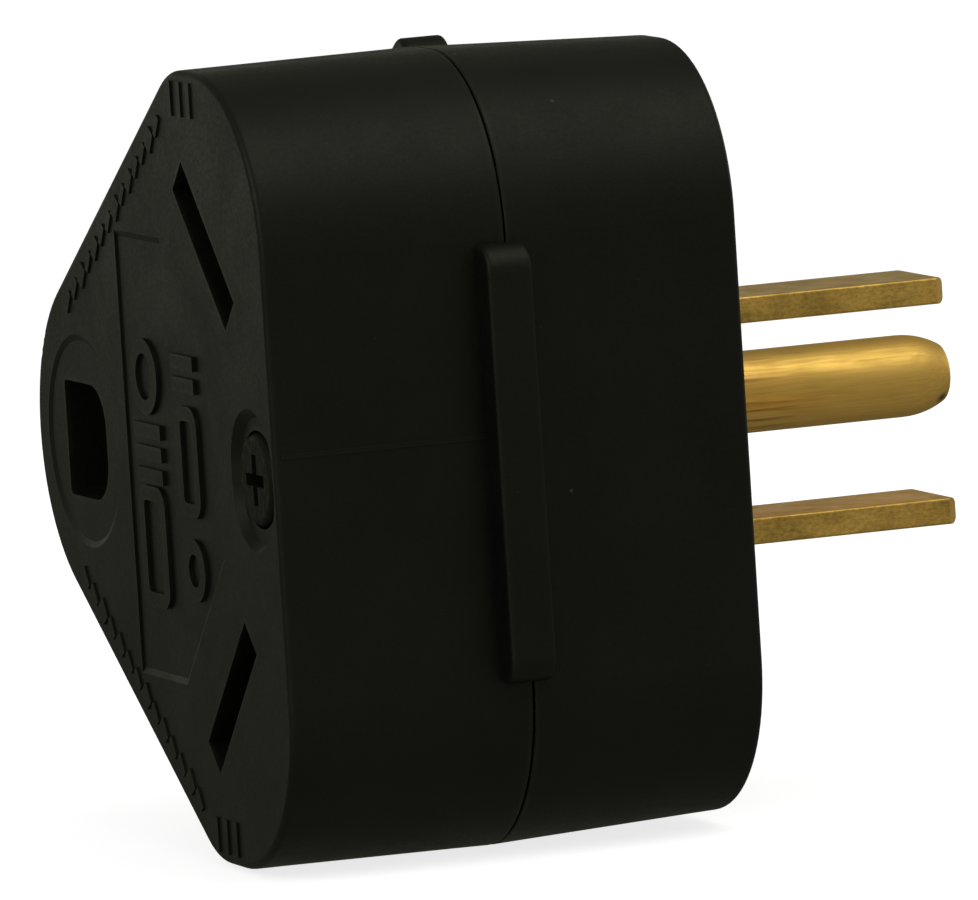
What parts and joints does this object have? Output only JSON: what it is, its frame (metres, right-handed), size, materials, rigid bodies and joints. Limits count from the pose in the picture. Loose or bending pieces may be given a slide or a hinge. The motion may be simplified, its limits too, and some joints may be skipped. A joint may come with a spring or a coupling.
{
  "type": "power adapter",
  "caption": "Compact moulded power adapter with a grounded bladed plug on one end face and an angled-slot trailer socket with a ground opening on the other.",
  "frame": {"origin": "on the plug face, midway between the two blades", "axes": "+X points out along the blades and the ground pin, +Y runs from the blades to the ground pin, +Z is along the body's long flat side"},
  "size_m": [0.0498, 0.0429, 0.0458],
  "materials": {
    "housing": "fine moulded black, slightly satin",
    "brass": "bright, lightly tarnished",
    "screw_steel": "blackened",
    "spring_steel": "plain"
  },
  "bodies": {
    "root": {"receptacle_shell": "housing", "plug_shell": "housing", "assembly_screw": "screw_steel", "line_blade": "brass", "neutral_blade": "brass", "ground_pin": "brass", "line_contact": "brass", "neutral_contact": "brass", "ground_contact": "brass", "line_spring": "spring_steel", "neutral_spring": "spring_steel", "ground_spring": "spring_steel", "contact_rivets": "brass"}
  },
  "joints": []
}
